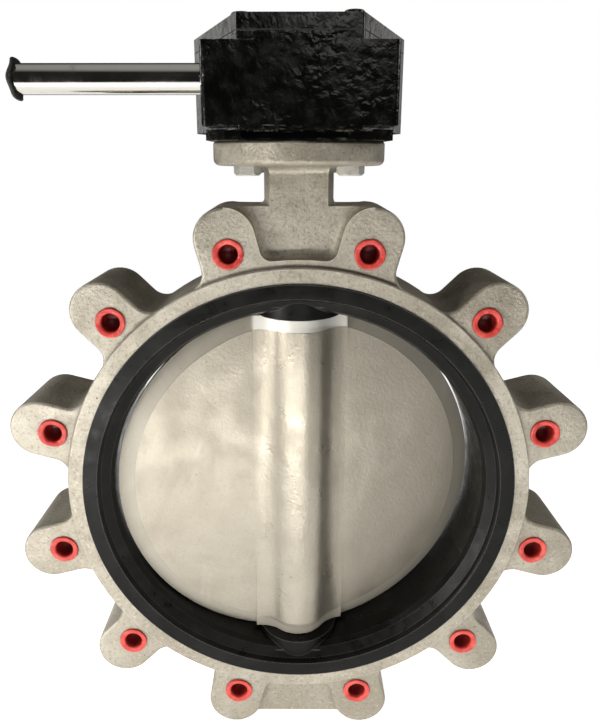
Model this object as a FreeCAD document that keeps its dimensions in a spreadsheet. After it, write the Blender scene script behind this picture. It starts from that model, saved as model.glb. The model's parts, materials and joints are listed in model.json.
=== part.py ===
import FreeCAD, Part
import math
import os
import types

import Sketcher

# Full-lug, rubber-seated butterfly valve for a 300 mm pipe, with a worm gear operator.
#
# Frame, in millimetres: the origin is where the stem axis crosses the bore axis, in the
# middle of the body's width. +Z runs up the stem. Y runs along the bore, and the front
# of the valve looks toward -Y. The input shaft leaves the gearbox toward -X.
# The disc rests a few degrees open, as it is drawn here.

doc = FreeCAD.newDocument("ButterflyValve")

# ---------------------------------------------------------------- driving dimensions

DRIVING = {
    # body casting
    "ring_radius": 184.0,         # outside of the ring, at its raised end faces
    "ring_width": 75.0,           # metal ring along the bore
    "ring_bore": 166.0,           # metal bore that the liner fills
    "lip_radius": 172.0,          # recess in the end faces for the liner's lip
    "lip_depth": 6.5,
    "lug_width": 67.0,            # lugs along the bore
    "lug_reach": 211.5,           # valve centre to the centre of a lug's round end
    "lug_radius": 22.8,
    "lug_root": 14.0,             # fillet between lug and ring
    "edge_round": 2.4,            # softened casting edge
    "bolt_circle": 200.0,         # radius of the pipe bolt circle
    "pipe_thread": 10.0,          # radius of the pipe bolts' thread
    "protector_seat": 10.25,      # radius of the thread's relieved front end
    "protector_depth": 15.0,
    "web_half": 23.0,             # half thickness of the neck and its web
    "web_rim": 189.0,             # radius where the web's pocket stops above the ring
    "foot_half": 28.0,            # half thickness of the web under the lower stem
    "foot_level": 220.0,          # its flat underside, below the centre
    "neck_half": 25.7,            # half width of the neck
    "neck_face": 21.3,            # half width of its flat front
    "neck_bevel": 15.0,           # where its bevels start, off the stem axis
    "flange_radius": 64.0,        # operator flange
    "flange_low": 256.0,
    "flange_top": 273.0,
    "flange_edge": 2.0,
    "flange_under": 4.5,          # larger rounding of its lower edge
    "neck_root": 6.0,             # fillet between neck and flange
    "pocket_corner": 9.0,         # corners of the hollow beside the neck
    "pocket_round": 6.0,          # where its floor runs up into the lugs and the rim
    "stem_housing": 17.0,         # radius of the bore that takes the stem bushes
    # stem line
    "stem_radius": 14.0,
    "running_gap": 0.05,          # radial clearance of a running fit
    "loose_gap": 0.4,             # clearance between parts that only pass each other
    # liner
    "liner_gap": 0.2,             # radial clearance between liner and body
    "seat_face": 39.0,            # liner face, off the valve centre
    "seat_mouth": 159.5,          # liner opening at its face
    "seat_land": 149.3,           # land that the disc's rim seals on
    "crest_radius": 149.6,        # edges of the land, a little back from its middle
    "crest_half": 26.0,
    "land_half": 13.0,
    "boss_radius": 34.0,          # flat boss round each stem
    "boss_level": 142.8,
    "facet_level": 152.6,         # flat in the liner wall beside each boss
    "facet_half": 43.0,
    # disc
    "disc_radius": 148.9,
    "disc_angle": 8.3,           # how far the disc stands open, in degrees
    "rim_half": 3.0,
    "bevel_inner": 135.6,
    "face_rim": 9.0,              # half thickness where the bevel meets the face
    "face_middle": 11.0,          # half thickness beside the hub
    "hub_radius": 27.0,
    "hub_level": 142.2,           # flat ends of the hub
    "hub_band": 131.5,            # where the machined taper at its ends starts
    "hub_taper": 2.0,             # how far the taper draws the hub in
    "flank_radius": 26.0,         # hollow flank between hub and face
    # gearbox
    "box_low": 279.0,             # underside of the gear case
    "box_radius": 77.0,           # round back of the case
    "box_front": 88.5,            # flat front of the case
    "nose_half": 38.0,            # half width of the flat front
    "shoulder": 5.0,              # where the slanted sides meet the round back
    "chamber_half": 60.5,         # half length of the worm chamber
    "chamber_front": 89.5,
    "chamber_low": 281.2,
    "chamber_corner": 3.8,
    "nose_corner": 2.5,
    "chamber_top": 330.0,
    "joint_level": 335.0,         # top of the case
    "gasket": 0.8,
    "cover_top": 345.0,
    "cavity_radius": 62.0,
    "cavity_low": 291.0,
    "pad_half": 63.0,             # square foot of the case
    "pad_corner": 14.0,
    # worm drive
    "worm_offset": 68.0,          # worm axis in front of the stem axis
    "worm_level": 310.0,
    "worm_pitch_radius": 13.0,
    "teeth": 40.0,
    "addendum": 2.6,
    "dedendum": 3.2,
    "sector_half": 12.0,          # half height of the toothed rim
    "space_width": 5.3,           # tooth space at the pitch circle
    "thread_width": 3.3,          # worm thread at the pitch cylinder
    "input_radius": 9.5,
    "seal_journal": 9.0,          # the shaft where it runs in its seal and outer bush
    "journal_start": 62.0,
    "journal_radius": 7.0,
    "input_end": 178.5,           # free end of the input shaft
    "worm_half": 33.0,
    "bush_outer": 16.0,
    "bush_end": 52.0,
    "cap_radius": 13.2,
}

sheet = doc.addObject("Spreadsheet::Sheet", "Dimensions")
for row, (alias, number) in enumerate(DRIVING.items(), start=1):
    sheet.set("A%d" % row, alias)
    sheet.set("B%d" % row, str(number))
    sheet.setAlias("B%d" % row, alias)
doc.recompute()


class Size:
    """A length that knows both its number and its formula on the sheet."""

    def __init__(self, number, formula):
        self.number = number
        self.formula = formula

    def joined(self, sign, other, number):
        return Size(number, "(%s %s %s)" % (self.formula, sign, as_size(other).formula))

    def __float__(self):
        return self.number

    def __add__(self, other):
        return self.joined("+", other, self.number + float(other))

    def __sub__(self, other):
        return self.joined("-", other, self.number - float(other))

    def __radd__(self, other):
        return as_size(other) + self

    def __rsub__(self, other):
        return as_size(other) - self

    def __mul__(self, other):
        return self.joined("*", other, self.number * float(other))

    def __truediv__(self, other):
        return self.joined("/", other, self.number / float(other))

    def __neg__(self):
        return Size(-self.number, "(0 - %s)" % self.formula)


def as_size(value):
    if isinstance(value, Size):
        return value
    return Size(float(value), "(%s)" % float(value))


size = types.SimpleNamespace(**{
    alias: Size(number, "Dimensions." + alias) for alias, number in DRIVING.items()
})

# ---------------------------------------------------------------- building blocks

ALONG_Z = FreeCAD.Rotation()
ALONG_X = FreeCAD.Rotation(FreeCAD.Vector(0, 1, 0), 90)
ALONG_Y = FreeCAD.Rotation(FreeCAD.Vector(1, 0, 0), -90)

pieces = []


def place(item, spot, turn=ALONG_Z):
    """Puts an item at a spot whose coordinates follow the sheet."""
    base = FreeCAD.Vector(*[float(part) for part in spot])
    item.Placement = FreeCAD.Placement(base, turn)
    for axis, part in zip("xyz", spot):
        if isinstance(part, Size):
            item.setExpression("Placement.Base." + axis, part.formula)
    return item


def primitive(kind, name, spot, turn, **sizes):
    item = doc.addObject("Part::" + kind, name)
    for prop, value in sizes.items():
        if isinstance(value, Size):
            setattr(item, prop, float(value))
            item.setExpression(prop, value.formula)
        else:
            setattr(item, prop, value)
    return place(item, spot, turn)


def rod(name, radius, length, spot=(0, 0, 0), turn=ALONG_Z):
    return primitive("Cylinder", name, spot, turn, Radius=radius, Height=length)


def block(name, low, high):
    """An upright box between two corners."""
    spans = [as_size(top) - bottom for bottom, top in zip(low, high)]
    return primitive("Box", name, low, ALONG_Z, Length=spans[0], Width=spans[1], Height=spans[2])


def joined(name, *items):
    result = doc.addObject("Part::MultiFuse", name)
    result.Shapes = list(items)
    return result


def shared(name, *items):
    result = doc.addObject("Part::MultiCommon", name)
    result.Shapes = list(items)
    return result


def group(name, items):
    result = doc.addObject("Part::Compound", name)
    result.Links = list(items)
    return result


def less(name, base, *tools):
    result = doc.addObject("Part::Cut", name)
    result.Base = base
    result.Tool = tools[0] if len(tools) == 1 else joined(name + "_tools", *tools)
    return result


def softened(name, base, radius, wanted):
    """Rounds the edges of a finished shape that the test picks."""
    doc.recompute()
    picked = [number for number, edge in enumerate(base.Shape.Edges, start=1) if wanted(edge)]
    if not picked:
        raise ValueError("no edge to round on " + name)
    result = doc.addObject("Part::Fillet", name)
    result.Base = base
    result.Edges = [(number, float(radius), float(radius)) for number in picked]
    return result


def is_straight(edge):
    return isinstance(edge.Curve, Part.Line)


def pinned(sketch, corner, point):
    """Ties one sketch corner to the sheet, measured from the sketch's origin."""
    for kind, axis_line, value in (("DistanceX", -2, point[0]), ("DistanceY", -1, point[1])):
        value = as_size(value)
        if abs(value.number) < 1e-9:
            sketch.addConstraint(Sketcher.Constraint("PointOnObject", corner, 1, axis_line))
            continue
        ends = (-1, 1, corner, 1) if value.number > 0 else (corner, 1, -1, 1)
        index = sketch.addConstraint(Sketcher.Constraint(kind, *ends, abs(value.number)))
        rule = value.formula if value.number > 0 else (-value).formula
        sketch.setExpression("Constraints[%d]" % index, rule)


def outlined(body, name, role, points):
    """A closed sketch on one of the body's own planes, with every corner on the sheet."""
    sketch = body.newObject("Sketcher::SketchObject", name)
    plane = [item for item in body.Origin.OriginFeatures if item.Role == role][0]
    sketch.AttachmentSupport = (plane, [""])
    sketch.MapMode = "FlatFace"
    corners = [FreeCAD.Vector(float(x), float(y), 0) for x, y in points]
    count = len(corners)
    for index in range(count):
        sketch.addGeometry(Part.LineSegment(corners[index], corners[(index + 1) % count]), False)
    for index in range(count):
        following = (index + 1) % count
        sketch.addConstraint(Sketcher.Constraint("Coincident", index, 2, following, 1))
    for index, point in enumerate(points):
        pinned(sketch, index, point)
    return sketch


def turned(name, points, spot=(0, 0, 0), turn=ALONG_Z):
    """A body of revolution about its own Z; each point is (radius, height)."""
    body = doc.addObject("PartDesign::Body", name)
    sketch = outlined(body, name + "_section", "XZ_Plane", points)
    spin = body.newObject("PartDesign::Revolution", name + "_spin")
    spin.Profile = sketch
    spin.ReferenceAxis = (sketch, ["V_Axis"])
    spin.Angle = 360
    return place(body, spot, turn)


def prism(name, points, length, spot=(0, 0, 0), turn=ALONG_Z):
    """A plan outline padded upward."""
    body = doc.addObject("PartDesign::Body", name)
    sketch = outlined(body, name + "_plan", "XY_Plane", points)
    pad = body.newObject("PartDesign::Pad", name + "_pad")
    pad.Profile = sketch
    pad.Length = float(length)
    pad.setExpression("Length", as_size(length).formula)
    return place(body, spot, turn)


def tube(name, inner, outer, low, high, spot=(0, 0, 0), turn=ALONG_Z):
    ring = [(inner, low), (outer, low), (outer, high), (inner, high)]
    return turned(name, ring, spot, turn)


def mirrored(points):
    """Completes a plan outline whose given half runs down the +X side."""
    return points + [(-as_size(x), y) for x, y in reversed(points)]


def hexagon(name, across_flats, height, spot=(0, 0, 0), turn=ALONG_Z):
    corner = across_flats / math.sqrt(3)
    return primitive("Prism", name, spot, turn, Polygon=6, Circumradius=corner, Height=height)


def hex_bolt(name, thread, length, across_flats, head, spot, turn):
    """A hexagon bolt: its head starts at the spot and its shank follows the turn."""
    trim = across_flats * 0.57
    crown = primitive("Cone", name + "_crown", (0, 0, 0), ALONG_Z,
                      Radius1=trim - head * 0.25, Radius2=trim + head, Height=head * 1.25)
    top = shared(name + "_head", hexagon(name + "_hex", across_flats, head), crown)
    shank = rod(name + "_shank", thread, head + length - 1.0, (0, 0, 1.0))
    return place(joined(name, top, shank), spot, turn)


def finish(item, label):
    item.Label = label
    pieces.append(item)
    return item


def around(radius, angle):
    """A point on a circle in the XZ plane, at an angle up from +X."""
    return radius * math.cos(math.radians(angle)), radius * math.sin(math.radians(angle))


def about_bore(angle):
    return FreeCAD.Rotation(FreeCAD.Vector(0, 1, 0), -angle)


# ---------------------------------------------------------------- valve body

LUG_ANGLES = [15 + 30 * index for index in range(12)]


def lug_blank(angle):
    half_width = size.lug_width / 2
    low = (size.ring_bore, -half_width, -size.lug_radius)
    high = (size.lug_reach, half_width, size.lug_radius)
    arm = block("lug_arm_%d" % angle, low, high)
    end = rod("lug_end_%d" % angle, size.lug_radius, size.lug_width,
              (size.lug_reach, -half_width, 0), ALONG_Y)
    return place(joined("lug_%d" % angle, arm, end), (0, 0, 0), about_bore(angle))


def lug_ring():
    """The ring with its twelve lugs, their roots filleted and their edges softened."""
    half_width = size.lug_width / 2
    ring = rod("lug_band", size.ring_radius, size.lug_width, (0, -half_width, 0), ALONG_Y)
    rough = joined("lug_ring_rough", ring, *[lug_blank(angle) for angle in LUG_ANGLES])

    def is_root(edge):
        if not is_straight(edge) or abs(edge.Length - size.lug_width.number) > 0.01:
            return False
        middle = edge.CenterOfMass
        return abs(math.hypot(middle.x, middle.z) - size.ring_radius.number) < 0.05

    rooted = softened("lug_ring_rooted", rough, size.lug_root, is_root)

    def is_rim(edge):
        ends = edge.BoundBox
        flat = ends.YLength < 0.01
        return flat and abs(abs(edge.CenterOfMass.y) - float(half_width)) < 0.01

    return softened("lug_ring", rooted, size.edge_round, is_rim)


THROAT_ROUND = 6.0


def top_web():
    """The thin web between the two top lugs, the neck on it and the operator flange."""
    side, level = web_corner()
    web = block("neck_web", (-side, -size.web_half, size.ring_bore),
                (side, size.web_half, level))
    neck_plan = mirrored([(size.neck_face, -size.web_half), (size.neck_half, -size.neck_bevel),
                          (size.neck_half, size.neck_bevel), (size.neck_face, size.web_half)])
    neck = prism("neck_column", neck_plan, size.flange_low - size.ring_bore + 4,
                 (0, 0, size.ring_bore))
    blended = joined("neck_rough", web, neck, operator_flange())

    def is_throat(edge):
        middle = edge.CenterOfMass
        at_web_top = abs(middle.z - float(level)) < 0.05 and edge.BoundBox.ZLength < 0.01
        return at_web_top and abs(abs(middle.x) - size.neck_half.number) < 0.05

    def is_neck_root(edge):
        middle = edge.CenterOfMass
        at_flange = abs(middle.z - size.flange_low.number) < 0.05 and is_straight(edge)
        return at_flange and math.hypot(middle.x, middle.y) < size.flange_radius.number / 2

    throat = softened("neck_blended", softened("neck_throat", blended, THROAT_ROUND, is_throat),
                      size.neck_root, is_neck_root)
    return throat


def web_corner():
    """Where the web's top meets the round end of the right-hand top lug."""
    side = size.lug_reach * math.cos(math.radians(LUG_ANGLES[2]))
    level = size.lug_reach * math.sin(math.radians(LUG_ANGLES[2])) + size.lug_radius
    return side, level


def neck_hollow(turn):
    """The space to be cut on one side of the web, its floor's edges rounded."""
    side = web_corner()[0]
    deep = size.lug_width / 2 + 3
    top = size.flange_low - 10
    blank = block("hollow_blank", (-side, size.web_half, size.ring_radius), (side, deep, top))
    rim = rod("hollow_rim", size.web_rim, size.lug_width * 2, (0, -size.lug_width, 0), ALONG_Y)
    sharp = less("hollow_sharp", blank, rim, lug_blank(LUG_ANGLES[2]), lug_blank(LUG_ANGLES[3]))

    def is_corner(edge):
        middle = edge.CenterOfMass
        across = is_straight(edge) and edge.BoundBox.YLength > 5
        return across and abs(math.hypot(middle.x, middle.z) - size.web_rim.number) < 0.1

    cornered = softened("hollow_cornered", sharp, size.pocket_corner, is_corner)

    def is_floor(edge):
        box = edge.BoundBox
        on_floor = box.YLength < 0.01 and abs(box.YMax - size.web_half.number) < 0.01
        at_side = box.XLength < 0.01 and abs(abs(box.XMax) - float(side)) < 0.01
        return on_floor and not at_side and box.ZMin < float(top) - 0.1

    return place(softened("hollow", cornered, size.pocket_round, is_floor), (0, 0, 0), turn)


def bottom_web():
    """The block between the two bottom lugs, which closes the lower stem bore."""
    side = size.lug_radius * 2
    return block("stem_foot", (-side, -size.foot_half, -size.foot_level),
                 (side, size.foot_half, -size.ring_bore))


def operator_flange():
    blank = rod("flange_blank", size.flange_radius, size.flange_top - size.flange_low,
                (0, 0, size.flange_low))

    def is_rim(edge, level):
        full_round = edge.Length > 2 * math.pi * (size.flange_radius.number - 0.1)
        return full_round and abs(edge.CenterOfMass.z - float(level)) < 0.1

    topped = softened("flange_topped", blank, size.flange_edge,
                      lambda edge: is_rim(edge, size.flange_top))
    return softened("operator_flange", topped, size.flange_under,
                    lambda edge: is_rim(edge, size.flange_low))


FLANGE_BOLT_CIRCLE = 51.0
FLANGE_BOLT_RADIUS = 5.0
WRENCH_SIZE = 17.0
BOLT_HEAD = 6.4
BOLT_LENGTH = 29.0


def flange_bolt_spots():
    step = FLANGE_BOLT_CIRCLE / math.sqrt(2)
    return [(side * step, front * step) for side in (-1, 1) for front in (-1, 1)]


def valve_body():
    half = size.ring_width / 2
    raised = turned("raised_ring", [
        (size.ring_bore, -half), (size.ring_radius - 1, -half), (size.ring_radius, -half + 1),
        (size.ring_radius, half - 1), (size.ring_radius - 1, half), (size.ring_bore, half),
    ], turn=ALONG_Y)
    side, level = web_corner()
    fill = block("web_fill", (-side, -size.lug_width / 2, size.ring_bore),
                 (side, size.lug_width / 2, level))
    hollows = [neck_hollow(ALONG_Z), neck_hollow(FreeCAD.Rotation(FreeCAD.Vector(0, 0, 1), 180))]
    webbed = less("webbed_ring", joined("filled_ring", lug_ring(), fill), *hollows)
    solid = joined("body_solid", webbed, top_web(), bottom_web(), raised)
    lip_start = half - size.lip_depth
    bore = rod("body_bore", size.ring_bore, size.ring_width * 2, (0, -size.ring_width, 0), ALONG_Y)
    lips = [rod("lip_front", size.lip_radius, size.lip_depth + 5,
                (0, -half - 5, 0), ALONG_Y),
            rod("lip_back", size.lip_radius, size.lip_depth + 5, (0, lip_start, 0), ALONG_Y)]
    stem_bores = [
        rod("stem_bore_up", size.stem_housing, size.flange_top, (0, 0, 20)),
        rod("stem_bore_down", size.stem_housing, size.foot_level, (0, 0, -size.foot_level - 20)),
    ]
    holes = []
    for angle in LUG_ANGLES:
        x, z = around(size.bolt_circle.number, angle)
        holes.append(rod("pipe_hole_%d" % angle, size.pipe_thread, size.lug_width * 2,
                         (x, -size.lug_width, z), ALONG_Y))
        holes.append(rod("pipe_relief_%d" % angle, size.protector_seat,
                         size.protector_depth + 5, (x, -size.lug_width / 2 - 5, z), ALONG_Y))
    for x, y in flange_bolt_spots():
        holes.append(rod("flange_hole", FLANGE_BOLT_RADIUS + 0.5, 40, (x, y, size.flange_low - 10)))
    return finish(less("valve_body_cut", solid, bore, *lips, *stem_bores, *holes), "valve_body")


# ---------------------------------------------------------------- liner and stem seals

def seat_liner():
    """The rubber seat: a lipped sleeve with a flat boss and a facet at each stem."""
    face = size.seat_face
    lip = size.ring_width / 2 - size.lip_depth
    sleeve_radius = size.ring_bore - size.liner_gap
    lip_radius = size.lip_radius - size.liner_gap
    outside = [(sleeve_radius, -lip), (lip_radius, -lip), (lip_radius, -face)]
    inside = [(size.seat_mouth + 1, -face), (size.seat_mouth, -face + 1.2),
              (size.seat_mouth - 1.2, -face + 4), (size.crest_radius + 2.2, -face + 8.5),
              (size.crest_radius, -size.crest_half), (size.seat_land, -size.land_half)]
    back = [(radius, -height) for radius, height in reversed(outside + inside)]
    sleeve = turned("liner_sleeve", outside + inside + back, turn=ALONG_Y)
    extras = []
    for word, side in (("upper", 1), ("lower", -1)):
        start = size.boss_level if side > 0 else -size.ring_bore + 5
        depth = size.ring_bore - 5 - size.boss_level
        extras.append(rod(word + "_boss", size.boss_radius, depth, (0, 0, start)))
        low, high = size.facet_level, size.ring_bore - 6
        if side < 0:
            low, high = -high, -low
        reach = face - 7
        extras.append(block(word + "_facet", (-size.facet_half, -reach, low),
                            (size.facet_half, reach, high)))
    solid = joined("liner_solid", sleeve, *extras)
    hole = rod("liner_stem_hole", size.stem_radius + size.loose_gap, size.foot_level * 2,
               (0, 0, -size.foot_level))
    return finish(less("seat_liner_cut", solid, hole), "seat_liner")


def stem_bushes():
    """Three plain bushes and a packing ring, each between two levels on the stem line."""
    inner = size.stem_radius + size.running_gap
    heights = {
        "upper_stem_bush": (238, 262),
        "middle_stem_bush": (172, 204),
        "lower_stem_bush": (-200, -172),
        "stem_seal": (262, 268),
    }
    for label, (low, high) in heights.items():
        finish(tube(label + "_body", inner, size.stem_housing, low, high), label)


def bottom_closure():
    """The screwed plug under the lower stem, and the gasket above it."""
    depth = 16.0
    gasket_depth = 2.0
    socket_flats = 14.0
    socket_depth = 8.5
    plug = rod("plug_blank", size.stem_housing, depth, (0, 0, -size.foot_level))
    socket = hexagon("plug_socket", socket_flats, socket_depth + 0.5, (0, 0, -size.foot_level - 0.5))
    finish(less("bottom_plug_cut", plug, socket), "bottom_plug")
    gasket = rod("bottom_gasket_disc", size.stem_housing, gasket_depth,
                 (0, 0, -size.foot_level + depth))
    finish(gasket, "bottom_gasket")


def thread_protectors():
    """Push-in caps in the front ends of the pipe threads."""
    deep = size.protector_depth - 1
    skirt = size.protector_seat - size.running_gap
    rim, rim_height = 11.7, 2.0
    mouth, throat, floor = 8.6, 7.4, 6.4
    wall = 1.4
    section = [(0, deep), (skirt - 1.2, deep), (skirt, deep - 3), (skirt, 0),
               (rim, 0), (rim, -wall), (rim - 0.5, -rim_height), (mouth, -rim_height),
               (throat, 0), (floor, deep - wall), (0, deep - wall)]
    caps = []
    for angle in LUG_ANGLES:
        x, z = around(size.bolt_circle.number, angle)
        caps.append(turned("protector_%d" % angle, section, (x, -size.lug_width / 2, z), ALONG_Y))
    return finish(group("protector_set", caps), "thread_protectors")


# ---------------------------------------------------------------- disc and stems

def bar_with_tapered_ends(name, radius, taper, x, y):
    """A round bar along the stem line whose radius changes evenly past the hub's bands."""
    return turned(name, [
        (0, -size.hub_level), (radius + taper, -size.hub_level), (radius, -size.hub_band),
        (radius, size.hub_band), (radius + taper, size.hub_level), (0, size.hub_level),
    ], (x, y, 0))


def disc_hub():
    """The hub and the webs that blend it into the faces through hollow flanks."""
    spread = size.hub_radius + size.flank_radius
    flank_y = size.face_middle + size.flank_radius
    flank_x = math.sqrt(float(spread) ** 2 - float(flank_y) ** 2)
    touch = float(flank_y) * float(size.hub_radius) / float(spread)
    core = bar_with_tapered_ends("disc_hub", size.hub_radius, -size.hub_taper, 0, 0)
    web = block("hub_flanks", (-flank_x, -touch, -size.hub_level), (flank_x, touch, size.hub_level))
    hollows = [bar_with_tapered_ends("flank_hollow", size.flank_radius, size.hub_taper,
                                     side * flank_x, way * float(flank_y))
               for side in (-1, 1) for way in (-1, 1)]
    return core, less("hub_web", web, *hollows)


def valve_disc():
    """The disc stands open by its rest angle: its -X edge leans to the front."""
    face = [(0, 0), (size.disc_radius, 0), (size.disc_radius, size.rim_half),
            (size.bevel_inner, size.face_rim), (60, size.face_middle), (0, size.face_middle)]
    halves = [turned("disc_back", face, turn=ALONG_Y),
              turned("disc_front", face, turn=FreeCAD.Rotation(FreeCAD.Vector(1, 0, 0), 90))]
    solid = joined("disc_solid", *halves, *disc_hub())
    reach = size.boss_radius + 2
    flats = [rod("flat_up", reach, 20, (0, 0, size.hub_level)),
             rod("flat_down", reach, 20, (0, 0, -size.hub_level - 20))]
    snug = size.stem_radius + size.running_gap
    square = SQUARE_HALF + size.running_gap
    sockets = [rod("socket_up", snug, 60, (0, 0, SQUARE_TOP)),
               rod("socket_down", snug, 60, (0, 0, LOWER_STEM_TOP - 59.5)),
               block("drive_square", (-square, -square, SQUARE_LOW - 1),
                     (square, square, SQUARE_TOP + 1))]
    result = less("valve_disc_cut", solid, *flats, *sockets)
    return finish(place(result, (0, 0, 0), DISC_SWING), "valve_disc")


DISC_SWING = FreeCAD.Rotation(FreeCAD.Vector(0, 0, 1), size.disc_angle.number)
SQUARE_HALF = 10.0        # the square that drives the disc, on the upper stem's foot
SQUARE_LOW = 76.0
SQUARE_TOP = 100.0
LOWER_STEM_TOP = -88.5
LOWER_STEM_END = -201.6
SECTOR_TOP = 332.0
INDICATOR_NECK = 8.0      # reduced top of the stem, under the position indicator
STEM_TOP = 350.0
INDICATOR_SCREW = 2.5
WORM_PIN = 2.5
PIN_X = -30.0             # the pin's place along the input shaft
KEY = {"half": 4.0, "inner": 10.5, "outer": 17.5, "low": 296.0, "high": 328.0}
CLIP = {"low": 273.6, "high": 275.2, "groove": 13.0}


def stems():
    radius = size.stem_radius
    clip_low, clip_high = CLIP["low"] - 0.1, CLIP["high"] + 0.1
    upper_round = turned("upper_stem_round", [
        (0, SQUARE_TOP + 0.1), (radius - 1, SQUARE_TOP + 0.1), (radius, SQUARE_TOP + 1.1),
        (radius, clip_low),
        (CLIP["groove"], clip_low), (CLIP["groove"], clip_high), (radius, clip_high),
        (radius, SECTOR_TOP), (INDICATOR_NECK, SECTOR_TOP), (INDICATOR_NECK, STEM_TOP),
        (0, STEM_TOP),
    ])
    square = block("upper_stem_square_blank", (-SQUARE_HALF, -SQUARE_HALF, SQUARE_LOW),
                   (SQUARE_HALF, SQUARE_HALF, SQUARE_TOP + 2))
    core = rod("square_core", SQUARE_HALF - 1, SQUARE_TOP + 2 - SQUARE_LOW, (0, 0, SQUARE_LOW))
    square = place(joined("upper_stem_square", square, core), (0, 0, 0), DISC_SWING)
    solid = joined("upper_stem_solid", upper_round, square)
    key_seat = block("stem_key_seat", (KEY["inner"], -KEY["half"], KEY["low"]),
                     (KEY["outer"], KEY["half"], KEY["high"]))
    screw_hole = rod("stem_screw_hole", INDICATOR_SCREW, 14, (0, 0, STEM_TOP - 13))
    finish(less("upper_stem_cut", solid, key_seat, screw_hole), "upper_stem")
    lower = turned("lower_stem_round", [
        (0, LOWER_STEM_END), (radius - 1, LOWER_STEM_END), (radius, LOWER_STEM_END + 1),
        (radius, LOWER_STEM_TOP - 1), (radius - 1, LOWER_STEM_TOP), (0, LOWER_STEM_TOP),
    ])
    finish(lower, "lower_stem")
    clip = tube("clip_ring", CLIP["groove"], 18.0, CLIP["low"], CLIP["high"])
    gap = block("clip_gap", (8, -4, CLIP["low"] - 1), (22, 4, CLIP["high"] + 1))
    finish(less("stem_circlip_cut", clip, gap), "stem_circlip")
    key = block("stem_key_block", (KEY["inner"], -KEY["half"], KEY["low"]),
                (KEY["outer"], KEY["half"], KEY["high"]))
    finish(key, "stem_key")


# ---------------------------------------------------------------- worm drive

WHEEL_RADIUS = size.worm_offset - size.worm_pitch_radius
AXIAL_PITCH = WHEEL_RADIUS * 2 * math.pi / size.teeth
LEAD_ANGLE = math.degrees(math.atan(float(WHEEL_RADIUS * 2 / size.teeth)
                                    / (2 * float(size.worm_pitch_radius))))
FLANK_SLOPE = math.tan(math.radians(20))
STOP_ANGLE = 108.0        # turn from a stop screw to the far end of the sector
SECTOR_LAST = STOP_ANGLE - 90 + size.disc_angle.number
SECTOR_FIRST = size.disc_angle.number - STOP_ANGLE
TOOTH_STEP = 9.0


def worm_sector():
    """A toothed sector on a keyed hub. Angles are counted from the worm's side, -Y."""
    tip = WHEEL_RADIUS + size.addendum
    low = size.worm_level - size.sector_half
    rim = rod("sector_rim", tip, size.sector_half * 2, (0, 0, low),
              FreeCAD.Rotation(FreeCAD.Vector(0, 0, 1), SECTOR_FIRST - 90))
    rim.Angle = SECTOR_LAST - SECTOR_FIRST
    hub_low = 293.5
    hub = rod("sector_hub", 25, SECTOR_TOP - hub_low, (0, 0, hub_low))
    blank = joined("sector_blank", rim, hub)
    root = WHEEL_RADIUS - size.dedendum
    outer_half = size.space_width / 2 + size.addendum * FLANK_SLOPE + 0.4
    root_half = size.space_width / 2 - size.dedendum * FLANK_SLOPE
    spaces = []
    count = int((SECTOR_LAST - SECTOR_FIRST) / TOOTH_STEP)
    for index in range(-count + 3, 4):
        space = primitive("Wedge", "tooth_space_%d" % (index + count), (0, 0, 0), ALONG_Z,
                          Xmin=-outer_half, Xmax=outer_half, Ymin=-tip - 1.1, Ymax=-root,
                          Zmin=-20, Zmax=20, X2min=-root_half, X2max=root_half,
                          Z2min=-20, Z2max=20)
        around_stem = FreeCAD.Rotation(FreeCAD.Vector(0, 0, 1), index * TOOTH_STEP)
        lean = FreeCAD.Rotation(FreeCAD.Vector(0, 1, 0), LEAD_ANGLE)
        place(space, (0, 0, size.worm_level), around_stem.multiply(lean))
        spaces.append(space)
    bore = rod("sector_bore", size.stem_radius + size.running_gap / 5, 60, (0, 0, 285))
    key_seat = block("sector_key_seat", (0, -KEY["half"], 285), (KEY["outer"], KEY["half"], 340))
    return finish(less("worm_sector_cut", blank, bore, key_seat, *spaces), "worm_sector")


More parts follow.
